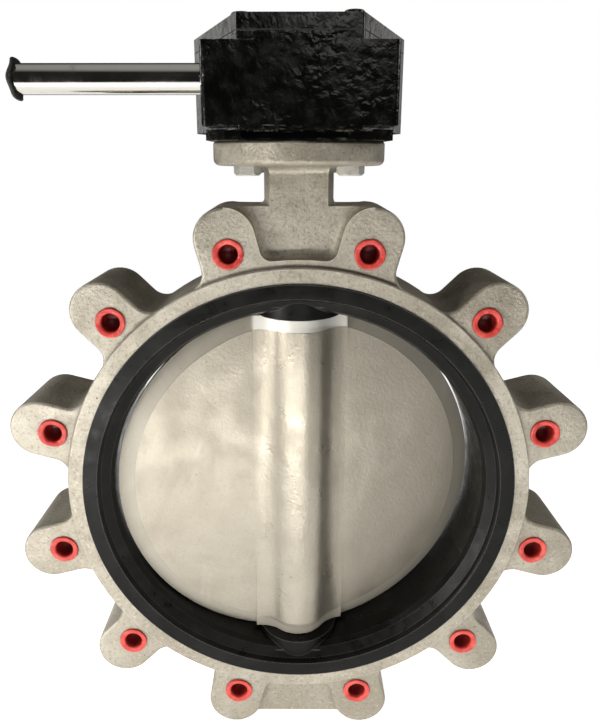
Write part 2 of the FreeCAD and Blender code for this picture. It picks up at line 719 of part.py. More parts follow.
def worm():
    """A single-start right-hand worm, bored for the shaft's journal."""
    turns = 6
    spine = primitive("Helix", "worm_helix", (0, 0, 0), ALONG_Z, Pitch=AXIAL_PITCH,
                      Height=AXIAL_PITCH * turns, Radius=size.worm_pitch_radius, Angle=0)
    base_half = size.thread_width / 2 + (size.dedendum + 0.4) * FLANK_SLOPE
    tip_half = size.thread_width / 2 - size.addendum * FLANK_SLOPE
    base = size.worm_pitch_radius - size.dedendum - 0.4
    tip = size.worm_pitch_radius + size.addendum
    section = doc.addObject("Sketcher::SketchObject", "worm_thread_section")
    section.Placement = FreeCAD.Placement(FreeCAD.Vector(),
                                          FreeCAD.Rotation(FreeCAD.Vector(1, 0, 0), 90))
    corners = [(base, -base_half), (tip, -tip_half), (tip, tip_half), (base, base_half)]
    points = [FreeCAD.Vector(float(x), float(y), 0) for x, y in corners]
    for index in range(4):
        section.addGeometry(Part.LineSegment(points[index], points[(index + 1) % 4]), False)
    for index in range(4):
        section.addConstraint(Sketcher.Constraint("Coincident", index, 2, (index + 1) % 4, 1))
    for index, corner in enumerate(corners):
        pinned(section, index, corner)
    thread = doc.addObject("Part::Sweep", "worm_thread")
    thread.Sections = [section]
    thread.Spine = (spine, ["Edge1"])
    thread.Solid = True
    thread.Frenet = True
    start = -AXIAL_PITCH * (turns / 2)
    core_start = -size.worm_half
    core = rod("worm_core", size.worm_pitch_radius - size.dedendum, size.worm_half * 2,
               (0, 0, core_start - start))
    screw = joined("worm_screw", core, thread)
    bore = rod("worm_bore", size.journal_radius + size.running_gap / 5, size.worm_half * 3,
               (0, 0, -size.worm_half))
    pin_hole = rod("worm_pin_hole", WORM_PIN, 40, (0, -20, PIN_X - start), ALONG_Y)
    result = less("worm_cut", screw, bore, pin_hole)
    to_x = FreeCAD.Rotation(FreeCAD.Vector(1, 1, 1), 120)
    place(result, (start, -size.worm_offset, size.worm_level), to_x)
    finish(result, "worm")
    reach = size.worm_pitch_radius - size.dedendum
    pin = rod("worm_pin_rod", WORM_PIN, reach * 2,
              (PIN_X, -size.worm_offset, size.worm_level - reach))
    finish(pin, "worm_pin")


def input_shaft():
    radius = size.input_radius
    end = size.input_end
    shaft = turned("input_shaft_round", [
        (0, -end), (radius - 1.2, -end), (radius, -end + 1.2), (radius, -size.journal_start),
        (size.seal_journal, -size.journal_start), (size.seal_journal, -size.worm_half - 1),
        (size.journal_radius, -size.worm_half - 1), (size.journal_radius, size.bush_end - 1),
        (0, size.bush_end - 1),
    ], (0, -size.worm_offset, size.worm_level), ALONG_X)
    hole = 4.0
    spigot = hole - 0.1
    centre = rod("shaft_end_hole", hole, 22, (-end, -size.worm_offset, size.worm_level), ALONG_X)
    pin_hole = rod("shaft_pin_hole", WORM_PIN, 40,
                   (PIN_X, -size.worm_offset, size.worm_level - 20))
    finish(less("input_shaft_cut", shaft, centre, pin_hole), "input_shaft")
    cap = turned("shaft_cap_round", [
        (0, -2.8), (size.cap_radius - 3, -2.8), (size.cap_radius, -1.6), (size.cap_radius, -0.2),
        (spigot, -0.2), (spigot, 13), (spigot - 0.5, 14), (0, 14),
    ], (-end, -size.worm_offset, size.worm_level), ALONG_X)
    finish(cap, "shaft_end_cap")


# ---------------------------------------------------------------- gearbox

def case_plan(name, length, spot):
    """The case outline: a flat nose, slanted sides and a round back behind the shoulders."""
    corner = math.sqrt(size.box_radius.number ** 2 - size.shoulder.number ** 2)
    front = prism(name + "_front", mirrored([
        (size.nose_half, -size.box_front), (corner, size.shoulder), (0.5, size.shoulder),
    ]), length, spot)
    x, y, z = spot
    rear = block(name + "_rear_half", (-size.box_radius - 1, size.shoulder, z),
                 (size.box_radius + 1, size.box_radius + 1, as_size(z) + length))
    back = shared(name + "_back", rod(name + "_round", size.box_radius, length, spot), rear)

    def is_nose(edge):
        upright = is_straight(edge) and edge.BoundBox.XLength < 0.01 and edge.BoundBox.YLength < 0.01
        return upright and edge.CenterOfMass.y < -size.chamber_front.number / 2

    return softened(name, joined(name + "_sharp", front, back), size.nose_corner, is_nose)


COVER_SCREW_RADIUS = 4.0


def cover_screw_spots():
    """Two screws near the nose, and four round the back of the cover."""
    circle = 69.5
    spots = [(-36.0, -70.0), (33.0, -76.0)]
    for angle in (20, 68, 112, 160):
        spots.append((circle * math.cos(math.radians(angle)), circle * math.sin(math.radians(angle))))
    return spots


PAD_SLOT = {"left": -36.5, "right": 31.0, "low": 274.3, "high": 278.6, "depth": 52.0}
STOP_X = 45.0
STOP_RADIUS = 5.0
STOP_TIP = 16.9
STOP_BOSS = 68.0


def gearbox_housing():
    case = case_plan("case_shell", size.joint_level - size.box_low, (0, 0, size.box_low))
    chamber = block("worm_chamber", (-size.chamber_half, -size.chamber_front, size.chamber_low),
                    (size.chamber_half, -40, size.chamber_top))

    def is_corner(edge):
        middle = edge.CenterOfMass
        upright = is_straight(edge) and edge.BoundBox.ZLength > 10
        return upright and abs(middle.y + float(size.chamber_front)) < 0.05

    chamber = softened("worm_chamber_soft", chamber, size.chamber_corner, is_corner)
    half = size.pad_half
    near = half - size.pad_corner
    pad = prism("case_pad", mirrored([(near, -half), (half, -near), (half, near), (near, half)]),
                size.box_low - size.flange_top + 1, (0, 0, size.flange_top))
    bosses = [rod("stop_boss", 11, STOP_BOSS - 50, (side * STOP_X, 50, size.worm_level), ALONG_Y)
              for side in (-1, 1)]
    solid = joined("case_solid", case, chamber, pad, *bosses)
    worm_axis = (-size.worm_offset, size.worm_level)
    length = size.chamber_half * 2
    cuts = [
        rod("case_cavity", size.cavity_radius, 60, (0, 0, size.cavity_low)),
        rod("case_stem_hole", 22, 40, (0, 0, 260)),
        rod("worm_room", size.bush_outer + 1, 76, (-38, *worm_axis), ALONG_X),
        rod("worm_bearing_bore", size.bush_outer, length + 10,
            (-size.chamber_half - 5, *worm_axis), ALONG_X),
    ]
    slot_left, slot_right = PAD_SLOT["left"], PAD_SLOT["right"]
    slot_low, slot_high = PAD_SLOT["low"], PAD_SLOT["high"]
    slot_round = (slot_high - slot_low) / 2
    cuts.append(block("pad_slot", (slot_left, -size.pad_half - 5, slot_low),
                      (slot_right, -PAD_SLOT["depth"], slot_high)))
    for end in (slot_left, slot_right):
        cuts.append(rod("pad_slot_end", slot_round, size.pad_half + 5 - PAD_SLOT["depth"],
                        (end, -size.pad_half - 5, slot_low + slot_round), ALONG_Y))
    for side in (-1, 1):
        cuts.append(rod("stop_hole", STOP_RADIUS, 60, (side * STOP_X, 20, size.worm_level), ALONG_Y))
    for x, y in flange_bolt_spots():
        cuts.append(rod("case_bolt_hole", FLANGE_BOLT_RADIUS, 16, (x, y, 271)))
    for x, y in cover_screw_spots():
        cuts.append(rod("case_screw_hole", COVER_SCREW_RADIUS, 9, (x, y, size.joint_level - 7)))
    return finish(less("gearbox_housing_cut", solid, *cuts), "gearbox_housing")


def gearbox_cover():
    start = size.joint_level + size.gasket
    plate = case_plan("cover_plate", size.cover_top - start, (0, 0, start))
    boss = rod("cover_boss", 31, 2.5, (0, 0, size.cover_top - 0.5))
    cuts = [rod("cover_stem_hole", 12, 40, (0, 0, 330))]
    for x, y in cover_screw_spots():
        cuts.append(rod("cover_screw_hole", COVER_SCREW_RADIUS + 0.5, 30, (x, y, 330)))
        cuts.append(rod("cover_screw_seat", 7.0, 10, (x, y, size.cover_top - 5)))
    finish(less("gearbox_cover_cut", joined("cover_solid", plate, boss), *cuts), "gearbox_cover")
    sheet_plan = case_plan("gasket_plan", size.gasket, (0, 0, size.joint_level))
    window = rod("gasket_window", size.cavity_radius, 5, (0, 0, size.joint_level - 2))
    holes = [rod("gasket_hole", COVER_SCREW_RADIUS + 0.5, 5, (x, y, size.joint_level - 2))
             for x, y in cover_screw_spots()]
    finish(less("cover_gasket_cut", sheet_plan, window, *holes), "cover_gasket")


def socket_screw(name, radius, length, head_radius, head, spot, turn):
    body = turned(name + "_round", [
        (0, 0), (head_radius, 0), (head_radius, head - 0.8), (head_radius - 0.8, head),
        (0, head),
    ])
    shank = rod(name + "_shank", radius, length + 1, (0, 0, -length))
    socket = hexagon(name + "_socket", head_radius * 0.92, head * 0.6, (0, 0, head * 0.45))
    return place(less(name, joined(name + "_solid", body, shank), socket), spot, turn)


def fasteners():
    bolts = []
    for index, (x, y) in enumerate(flange_bolt_spots()):
        bolts.append(hex_bolt("flange_bolt_%d" % index, FLANGE_BOLT_RADIUS, BOLT_LENGTH,
                              WRENCH_SIZE, BOLT_HEAD, (x, y, size.flange_low - BOLT_HEAD), ALONG_Z))
    finish(group("flange_bolt_set", bolts), "flange_bolts")
    screws = []
    for index, (x, y) in enumerate(cover_screw_spots()):
        screws.append(socket_screw("cover_screw_%d" % index, COVER_SCREW_RADIUS, 11.0, 6.5, 8.0,
                                   (x, y, size.cover_top - 5), ALONG_Z))
    finish(group("cover_screw_set", screws), "cover_screws")
    stops = []
    nuts = []
    for side in (-1, 1):
        name = "stop_%s" % ("left" if side < 0 else "right")
        spot = (side * STOP_X, STOP_TIP, size.worm_level)
        stem = rod(name + "_rod", STOP_RADIUS, 66, spot, ALONG_Y)
        slot = block(name + "_slot", (side * STOP_X - 6, STOP_TIP + 62.5, 309),
                     (side * STOP_X + 6, STOP_TIP + 70, 311))
        stops.append(less(name + "_screw", stem, slot))
        nut = hexagon(name + "_nut_blank", WRENCH_SIZE, 8.0,
                      (side * STOP_X, STOP_BOSS, size.worm_level), ALONG_Y)
        hole = rod(name + "_nut_hole", STOP_RADIUS, 20, (side * STOP_X, STOP_BOSS - 5,
                                                         size.worm_level), ALONG_Y)
        nuts.append(less(name + "_nut", nut, hole))
    finish(group("stop_screw_set", stops), "stop_screws")
    finish(group("stop_nut_set", nuts), "stop_lock_nuts")


SEAL_END = 57.0


def worm_supports():
    spot = (0, -size.worm_offset, size.worm_level)
    outer = size.bush_outer
    inner = size.seal_journal + size.running_gap
    small = size.journal_radius + size.running_gap
    end = size.bush_end
    finish(tube("worm_bush_outer_ring", inner, outer, -end, -38, spot, ALONG_X), "worm_bush_outer")
    finish(tube("worm_bush_inner_ring", small, outer, 38, end, spot, ALONG_X), "worm_bush_inner")
    washers = [
        tube("thrust_washer_outer", size.seal_journal + 0.4, outer - 1, -37.9, -size.worm_half - 0.4,
             spot, ALONG_X),
        tube("thrust_washer_inner", size.journal_radius + 0.4, outer - 1, size.worm_half + 0.4, 37.9,
             spot, ALONG_X),
    ]
    finish(group("thrust_washer_pair", washers), "thrust_washers")
    finish(tube("shaft_seal_ring", inner, outer, -SEAL_END, -end, spot, ALONG_X), "shaft_seal")
    finish(tube("seal_retainer_ring", size.seal_journal + size.loose_gap, outer,
                -size.chamber_half + 0.5, -SEAL_END, spot, ALONG_X), "seal_retainer")
    plug = rod("worm_plug_blank", outer, size.chamber_half - end,
               (end, -size.worm_offset, size.worm_level), ALONG_X)
    socket = hexagon("worm_plug_socket", 12.0, 4.0,
                     (size.chamber_half - 3, -size.worm_offset, size.worm_level), ALONG_X)
    finish(less("worm_end_plug_cut", plug, socket), "worm_end_plug")


def indicator():
    """A round pointer cap on the stem's top, turning over the cover."""
    neck = INDICATOR_NECK + 0.02
    passage = INDICATOR_SCREW + 0.1
    under, top = 347.4, 353.5
    dial = 27
    cap = turned("indicator_round", [
        (neck, under), (dial, under), (dial, top - 3), (dial - 2, top), (passage, top),
        (passage, STEM_TOP + 0.1), (neck, STEM_TOP + 0.1),
    ])
    ridge = block("indicator_ridge", (-4, -24, top - 0.5), (4, 24, top + 3))
    hole = rod("indicator_hole", 6.0, 10, (0, 0, top - 0.5))
    through = rod("indicator_screw_hole", passage, 20, (0, 0, STEM_TOP - 5))
    solid = joined("indicator_solid", cap, ridge)
    result = less("position_indicator_cut", solid, hole, through)
    swing = FreeCAD.Rotation(FreeCAD.Vector(0, 0, 1), size.disc_angle.number + 90)
    finish(place(result, (0, 0, 0), swing), "position_indicator")
    screw = socket_screw("indicator_screw_part", INDICATOR_SCREW, 12.0, 4.6, 2.9, (0, 0, top),
                         ALONG_Z)
    finish(screw, "indicator_screw")
    finish(tube("indicator_seal_ring", INDICATOR_NECK + 0.1, 12.0, 337, 345.5), "indicator_seal")


# ---------------------------------------------------------------- assembly and export

valve_body()
seat_liner()
stem_bushes()
bottom_closure()
thread_protectors()
valve_disc()
stems()
worm_sector()
worm()
input_shaft()
gearbox_housing()
gearbox_cover()
fasteners()
worm_supports()
indicator()
doc.recompute()

for item in doc.Objects:
    if "Invalid" in item.State or "Error" in item.State:
        raise RuntimeError("%s did not build: %s" % (item.Label, item.State))

for piece in pieces:
    if piece.Shape.isNull() or not piece.Shape.isValid() or piece.Shape.Volume <= 0:
        raise RuntimeError(piece.Label + " is not a valid solid")

os.makedirs("parts", exist_ok=True)
for piece in pieces:
    piece.Shape.exportStep("parts/" + piece.Label + ".step")
    print("%-22s %2d solid(s) %12.1f mm3" % (piece.Label, len(piece.Shape.Solids),
                                             piece.Shape.Volume))
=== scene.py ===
import json
import math

import bpy
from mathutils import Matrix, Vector, noise


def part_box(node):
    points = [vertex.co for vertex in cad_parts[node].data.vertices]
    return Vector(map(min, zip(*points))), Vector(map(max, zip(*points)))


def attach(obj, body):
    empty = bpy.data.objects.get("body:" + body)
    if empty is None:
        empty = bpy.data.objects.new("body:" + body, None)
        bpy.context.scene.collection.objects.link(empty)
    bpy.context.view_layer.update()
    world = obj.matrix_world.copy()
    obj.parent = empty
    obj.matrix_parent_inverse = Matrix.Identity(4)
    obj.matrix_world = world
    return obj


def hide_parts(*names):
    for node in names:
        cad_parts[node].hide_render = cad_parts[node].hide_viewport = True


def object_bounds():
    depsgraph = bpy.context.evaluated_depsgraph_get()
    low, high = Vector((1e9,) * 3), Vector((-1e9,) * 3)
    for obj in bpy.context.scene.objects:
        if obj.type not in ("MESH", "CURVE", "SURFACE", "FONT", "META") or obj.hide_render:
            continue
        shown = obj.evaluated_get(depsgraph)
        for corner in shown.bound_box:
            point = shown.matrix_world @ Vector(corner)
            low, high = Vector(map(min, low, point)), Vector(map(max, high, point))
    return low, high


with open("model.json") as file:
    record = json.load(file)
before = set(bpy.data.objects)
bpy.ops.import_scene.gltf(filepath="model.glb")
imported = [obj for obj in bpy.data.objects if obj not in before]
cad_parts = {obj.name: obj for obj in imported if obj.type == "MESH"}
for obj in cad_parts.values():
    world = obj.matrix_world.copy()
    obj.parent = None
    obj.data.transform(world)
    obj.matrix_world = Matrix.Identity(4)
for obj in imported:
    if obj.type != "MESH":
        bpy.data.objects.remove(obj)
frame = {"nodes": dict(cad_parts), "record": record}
cad_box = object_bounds()

# Butterfly valve, 300 mm, with a worm gear operator. Metres, in the CAD frame: +Z up the
# stem, Y along the bore, and the front of the valve toward -Y.

DISC_OPEN = math.radians(8.3)   # the disc's turn about Z as modelled
RIM_INNER = 0.1352              # radius where the disc's face meets its turned rim
HUB_END = 0.1310                # height above and below the centre where the hub's turned ends begin
HUB_HALF = 0.036                # half the width of those ends
STEP = 0.0008                   # width over which one finish gives way to the next
BOLT_CIRCLE = 0.200             # radius of the ring of lug holes
PLUG_COUNT = 12
FIRST_PLUG = 15.0               # degrees from +X
LUG_FACE = -0.0335              # front of the lugs
SHAFT_Y = -0.068                # axis of the input shaft
SHAFT_Z = 0.310
DIAL_FACE = 0.3536              # face of the indicator's dial; its pointer stands above this
WHITE = (1.0, 1.0, 1.0, 1.0)


# ---------------------------------------------------------------- shader building

class Finish:
    """One material: a Principled shader and the texture nodes that feed it."""

    def __init__(self, name, colour, metallic, roughness):
        self.material = bpy.data.materials.new(name)
        self.material.use_nodes = True
        self.material.diffuse_color = (*colour, 1.0)
        self.tree = self.material.node_tree
        self.shader = self.tree.nodes["Principled BSDF"]
        self.set("Base Color", (*colour, 1.0))
        self.set("Metallic", metallic)
        self.set("Roughness", roughness)
        self.place = self.tree.nodes.new("ShaderNodeTexCoord").outputs["Object"]
        self.normal = None

    def set(self, socket, value):
        self.shader.inputs[socket].default_value = value

    def feed(self, node, socket, value):
        """Links an output to the socket, or sets a plain value on it."""
        if hasattr(value, "is_output"):
            self.tree.links.new(value, node.inputs[socket])
        else:
            node.inputs[socket].default_value = value

    def drive(self, socket, value):
        self.tree.links.new(value, self.shader.inputs[socket])

    def stretched(self, scale):
        node = self.tree.nodes.new("ShaderNodeMapping")
        self.feed(node, "Vector", self.place)
        self.feed(node, "Scale", scale)
        return node.outputs["Vector"]

    def grain(self, scale, detail=3.0, rough=0.55, stretch=None, twist=0.0):
        """Noise of 0 to 1, scale in cells per metre."""
        node = self.tree.nodes.new("ShaderNodeTexNoise")
        self.feed(node, "Vector", self.stretched(stretch) if stretch else self.place)
        self.feed(node, "Scale", scale)
        self.feed(node, "Detail", detail)
        self.feed(node, "Roughness", rough)
        self.feed(node, "Distortion", twist)
        return node.outputs["Fac"]

    def cells(self, scale):
        """Distance to the nearest of many scattered points."""
        node = self.tree.nodes.new("ShaderNodeTexVoronoi")
        self.feed(node, "Vector", self.place)
        self.feed(node, "Scale", scale)
        return node.outputs["Distance"]

    def calc(self, operation, first, second=0.0):
        node = self.tree.nodes.new("ShaderNodeMath")
        node.operation = operation
        self.feed(node, 0, first)
        self.feed(node, 1, second)
        return node.outputs[0]

    def times(self, first, second):
        return self.calc("MULTIPLY", first, second)

    def spread(self, value, low, high, to_low=0.0, to_high=1.0):
        """Maps low..high to to_low..to_high with soft ends, and holds it beyond them."""
        node = self.tree.nodes.new("ShaderNodeMapRange")
        node.interpolation_type = "SMOOTHSTEP"
        self.feed(node, "Value", value)
        self.feed(node, "From Min", low)
        self.feed(node, "From Max", high)
        self.feed(node, "To Min", to_low)
        self.feed(node, "To Max", to_high)
        return node.outputs["Result"]

    def blend(self, amount, first, second):
        """Colour that goes from first to second as amount goes from 0 to 1."""
        node = self.tree.nodes.new("ShaderNodeMix")
        node.data_type = "RGBA"
        self.feed(node, 0, amount)
        self.feed(node, 6, first if hasattr(first, "is_output") else (*first, 1.0))
        self.feed(node, 7, second if hasattr(second, "is_output") else (*second, 1.0))
        return node.outputs[2]

    def between(self, amount, first, second):
        """Number that goes from first to second as amount goes from 0 to 1."""
        node = self.tree.nodes.new("ShaderNodeMix")
        self.feed(node, 0, amount)
        self.feed(node, 2, first)
        self.feed(node, 3, second)
        return node.outputs[0]

    def axes(self):
        node = self.tree.nodes.new("ShaderNodeSeparateXYZ")
        self.feed(node, "Vector", self.place)
        return node.outputs["X"], node.outputs["Y"], node.outputs["Z"]

    def relief(self, height, depth):
        """Adds a height map, whose full range is depth metres, to the surface."""
        node = self.tree.nodes.new("ShaderNodeBump")
        self.feed(node, "Strength", 1.0)
        self.feed(node, "Distance", depth)
        self.feed(node, "Height", height)
        if self.normal:
            self.feed(node, "Normal", self.normal)
        self.normal = node.outputs["Normal"]
        self.drive("Normal", self.normal)

    def edge(self, radius):
        """Near 1 on sharp edges and in corners, 0 on open faces."""
        soft = self.tree.nodes.new("ShaderNodeBevel")
        soft.samples = 4
        self.feed(soft, "Radius", radius)
        flat = self.tree.nodes.new("ShaderNodeNewGeometry")
        dot = self.tree.nodes.new("ShaderNodeVectorMath")
        dot.operation = "DOT_PRODUCT"
        self.feed(dot, 0, soft.outputs["Normal"])
        self.feed(dot, 1, flat.outputs["Normal"])
        return self.spread(dot.outputs["Value"], 0.995, 0.86)

    def creases(self, reach):
        """Near 1 deep in corners and grooves, 0 on open faces."""
        node = self.tree.nodes.new("ShaderNodeAmbientOcclusion")
        node.samples = 6
        self.feed(node, "Distance", reach)
        return self.spread(node.outputs["AO"], 0.80, 0.35)


def cast_stainless():
    """Blasted sand casting: warm grey, fine grain, a few pits, with a painted highlight along the edges
    and painted shade in the creases.
    """
    look = Finish("cast_stainless", (0.40, 0.37, 0.31), 0.60, 0.50)
    dull, pale = (0.31, 0.280, 0.222), (0.46, 0.425, 0.355)
    dark_grain, light_grain = (0.15, 0.132, 0.102), (0.66, 0.63, 0.56)
    edge_highlight, crease_shade, hole = (0.62, 0.59, 0.52), (0.085, 0.074, 0.058), (0.055, 0.048, 0.038)

    cloud = look.grain(11.0, 4.0, 0.6, twist=0.4)
    dark_speck = look.grain(420.0, 2.0, 0.6)
    light_speck = look.grain(360.0, 2.0, 0.6, twist=0.3)
    pits = look.times(look.spread(look.cells(95.0), 0.10, 0.045),
                      look.spread(look.grain(30.0, 1.0), 0.56, 0.66))
    colour = look.blend(look.spread(cloud, 0.35, 0.68), dull, pale)
    colour = look.blend(look.spread(dark_speck, 0.50, 0.70, 0.0, 0.45), colour, dark_grain)
    colour = look.blend(look.spread(light_speck, 0.56, 0.72, 0.0, 0.30), colour, light_grain)
    # painted highlight: every edge is blended toward a pale colour
    colour = look.blend(look.times(look.edge(0.0016), 0.55), colour, edge_highlight)
    # painted shade: corners and creases found by ambient occlusion are darkened
    colour = look.blend(look.times(look.creases(0.007), 0.75), colour, crease_shade)
    colour = look.blend(look.times(pits, 0.8), colour, hole)
    look.drive("Base Color", colour)
    look.drive("Roughness", look.spread(look.grain(60.0, 3.0), 0.3, 0.7, 0.42, 0.60))

    look.relief(look.grain(520.0, 3.0, 0.65), 0.00034)
    look.relief(look.grain(70.0, 3.0, 0.5), 0.00085)
    look.relief(look.calc("SUBTRACT", 1.0, pits), 0.00045)
    return look.material


def disc_stainless():
    """The disc: blasted faces, and a turned rim and hub ends that shine, with a painted highlight on the
    upper hub end, painted shade on the lower one and painted shade on the right of the faces.
    """
    look = Finish("disc_stainless", (0.42, 0.385, 0.325), 0.68, 0.42)
    dull, pale = (0.305, 0.275, 0.222), (0.385, 0.352, 0.290)
    rubbed, dark_grain = (0.56, 0.53, 0.465), (0.23, 0.205, 0.165)
    shaded, hole, turned_rim = (0.20, 0.180, 0.145), (0.07, 0.06, 0.05), (0.60, 0.57, 0.50)
    # painted light: the turned hub ends are one finish, coloured bright on the upper end as a highlight
    # and dark on the lower end as shade
    shaded_lower_end, highlit_upper_end = (0.33, 0.30, 0.25), (0.84, 0.82, 0.76)

    x, y, z = look.axes()
    along = look.calc("ADD", look.times(x, math.cos(DISC_OPEN)), look.times(y, math.sin(DISC_OPEN)))
    out = look.calc("SQRT", look.calc("ADD", look.times(along, along), look.times(z, z)))
    aside = look.calc("ABSOLUTE", along)
    height = look.calc("ABSOLUTE", z)
    rim = look.spread(out, RIM_INNER, RIM_INNER + STEP)
    hub_end = look.times(look.spread(height, HUB_END, HUB_END + STEP),
                         look.spread(aside, HUB_HALF + 0.004, HUB_HALF))
    ridge = look.spread(aside, 0.040, 0.028)
    turned = look.calc("MAXIMUM", rim, hub_end)

    cloud = look.grain(9.0, 5.0, 0.62, twist=0.8)
    stain = look.grain(26.0, 4.0, 0.6, stretch=(1.0, 1.0, 0.45), twist=0.5)
    speck = look.grain(520.0, 2.0, 0.6)
    shade = look.times(look.spread(along, 0.012, 0.060), look.spread(z, 0.16, -0.10, 0.34, 0.72))
    pits = look.times(look.spread(look.cells(120.0), 0.085, 0.04),
                      look.spread(look.grain(24.0, 1.0), 0.60, 0.68))
    colour = look.blend(look.spread(cloud, 0.34, 0.66), dull, pale)
    colour = look.blend(look.spread(stain, 0.58, 0.76, 0.0, 0.45), colour, rubbed)
    colour = look.blend(look.spread(speck, 0.52, 0.74, 0.0, 0.28), colour, dark_grain)
    colour = look.blend(shade, colour, shaded)
    colour = look.blend(pits, colour, hole)
    colour = look.blend(look.times(rim, 0.20), colour, turned_rim)
    # painted highlight on the upper hub end, painted shade on the lower one
    hub_end_light_and_shade = look.blend(look.spread(z, 0.0, 0.01), shaded_lower_end, highlit_upper_end)
    colour = look.blend(look.times(hub_end, 0.9), colour, hub_end_light_and_shade)
    look.drive("Base Color", colour)

    satin = look.spread(look.grain(45.0, 3.0), 0.3, 0.7, 0.38, 0.52)
    satin = look.calc("SUBTRACT", satin, look.times(ridge, 0.12))
    look.drive("Roughness", look.between(turned, satin, 0.50))
    look.drive("Metallic", look.calc("SUBTRACT", look.calc("ADD", 0.55, look.times(ridge, 0.15)),
                                     look.times(rim, 0.35)))
    look.relief(look.times(look.grain(430.0, 3.0, 0.6), look.calc("SUBTRACT", 1.0, turned)), 0.00022)
    look.relief(look.grain(34.0, 3.0, 0.5), 0.00040)
    return look.material


def liner_rubber():
    """Satin moulded rubber with a faint bloom, and a painted highlight along the lips and edges."""
    look = Finish("liner_rubber", (0.002, 0.002, 0.0018), 0.0, 0.38)
    clean, bloomed, rubber_edge_highlight = (0.0018, 0.0018, 0.0016), (0.0075, 0.0073, 0.006), (0.17, 0.165, 0.145)
    bloom = look.grain(22.0, 4.0, 0.6, twist=0.5)
    colour = look.blend(look.spread(bloom, 0.40, 0.72), clean, bloomed)
    # painted highlight: the lips and edges are blended toward a pale grey
    colour = look.blend(look.times(look.edge(0.0010), 0.55), colour, rubber_edge_highlight)
    look.drive("Base Color", colour)
    look.set("Specular IOR Level", 0.15)
    look.drive("Roughness", look.spread(look.grain(90.0, 3.0), 0.3, 0.7, 0.26, 0.44))
    look.relief(look.grain(900.0, 2.0, 0.6), 0.00006)
    look.relief(look.grain(55.0, 2.0, 0.5), 0.00035)
    return look.material


def red_plastic():
    """Soft moulded red plastic, a little uneven, and darker down inside each plug as painted shade."""
    look = Finish("red_plastic", (0.60, 0.045, 0.035), 0.0, 0.42)
    cloud = look.grain(120.0, 3.0, 0.6)
    colour = look.blend(look.spread(cloud, 0.35, 0.7), (0.50, 0.030, 0.024), (0.70, 0.085, 0.062))
    # painted shade: darker the deeper the point lies inside the plug's hole
    recess_shade = look.spread(look.axes()[1], LUG_FACE - 0.0008, LUG_FACE + 0.003)
    colour = look.blend(look.times(recess_shade, 0.85), colour, (0.10, 0.002, 0.002))
    look.drive("Base Color", colour)
    look.set("Subsurface Weight", 0.12)
    look.set("Subsurface Scale", 0.002)
    look.drive("Roughness", look.spread(look.grain(300.0, 2.0), 0.3, 0.7, 0.32, 0.52))
    look.relief(look.grain(260.0, 2.0, 0.5), 0.00025)
    return look.material


def black_paint():
    """Thick gloss paint over a rough casting: soft lumps and bare chipped edges."""
    paint, bare = (0.0015, 0.0015, 0.0013), (0.28, 0.255, 0.21)
    look = Finish("black_paint", paint, 0.0, 0.16)
    chips = look.times(look.edge(0.0008), look.spread(look.grain(75.0, 4.0, 0.7), 0.53, 0.64))
    colour = look.blend(look.times(chips, 0.7), paint, bare)
    look.drive("Base Color", colour)
    look.set("Coat Weight", 0.2)
    look.set("Coat Roughness", 0.06)
    look.drive("Roughness", look.spread(look.grain(130.0, 3.0), 0.3, 0.75, 0.12, 0.30))
    patch = look.spread(look.grain(22.0, 2.0), 0.42, 0.62, 0.35, 1.0)
    look.relief(look.times(look.grain(170.0, 2.0, 0.5, twist=0.3), patch), 0.00075)
    return look.material


def polished_steel():
    """Ground and polished bar: mirror bright, with lines running round it."""
    look = Finish("polished_steel", (0.60, 0.585, 0.545), 1.0, 0.12)
    lines = look.grain(1.0, 3.0, 0.6, stretch=(1500.0, 25.0, 25.0))
    smudge = look.grain(38.0, 4.0, 0.65, twist=0.6)
    clean, smudged = (0.62, 0.605, 0.565), (0.36, 0.34, 0.30)
    colour = look.blend(look.spread(smudge, 0.55, 0.74, 0.0, 0.5), clean, smudged)
    look.drive("Base Color", colour)
    look.drive("Roughness", look.spread(smudge, 0.40, 0.75, 0.09, 0.24))
    look.relief(lines, 0.000012)
    return look.material


def cap_rubber():
    """Matt black rubber, dusty in patches."""
    look = Finish("cap_rubber", (0.018, 0.018, 0.016), 0.0, 0.6)
    clean, dusty = (0.014, 0.014, 0.012), (0.055, 0.052, 0.045)
    dust = look.grain(160.0, 4.0, 0.65)
    look.drive("Base Color", look.blend(look.spread(dust, 0.52, 0.75), clean, dusty))
    look.relief(look.grain(700.0, 2.0, 0.6), 0.00008)
    return look.material


def plated(name, colour, roughness, metallic=1.0, grain=600.0, depth=0.00004):
    """Small steel parts: plated, ground or turned, by colour and roughness."""
    look = Finish(name, colour, metallic, roughness)
    cloud = look.grain(140.0, 4.0, 0.6)
    dark = tuple(0.62 * part for part in colour)
    colour = look.blend(look.spread(cloud, 0.42, 0.72), colour, dark)
    # painted highlight: the edges are blended toward a pale colour
    colour = look.blend(look.times(look.edge(0.0006), 0.4), colour, (0.75, 0.73, 0.68))
    look.drive("Base Color", colour)
    look.drive("Roughness", look.spread(cloud, 0.3, 0.75, roughness, roughness + 0.16))
    look.relief(look.grain(grain, 2.0, 0.6), depth)
    return look.material


def seal_rubber():
    """Plain black rubber of the seals and gaskets."""
    look = Finish("seal_rubber", (0.014, 0.014, 0.014), 0.0, 0.5)
    look.drive("Roughness", look.spread(look.grain(200.0, 3.0), 0.3, 0.7, 0.42, 0.62))
    look.relief(look.grain(800.0, 2.0), 0.00005)
    return look.material


def indicator_plastic():
    """Black moulded dial whose raised pointer is yellow."""
    black, yellow = (0.016, 0.016, 0.016), (0.62, 0.46, 0.03)
    look = Finish("indicator_plastic", black, 0.0, 0.4)
    raised = look.spread(look.axes()[2], DIAL_FACE, DIAL_FACE + 0.0004)
    raised = look.times(raised, look.spread(look.grain(260.0, 3.0), 0.25, 0.35))
    look.drive("Base Color", look.blend(raised, black, yellow))
    look.relief(look.grain(500.0, 2.0), 0.00008)
    return look.material


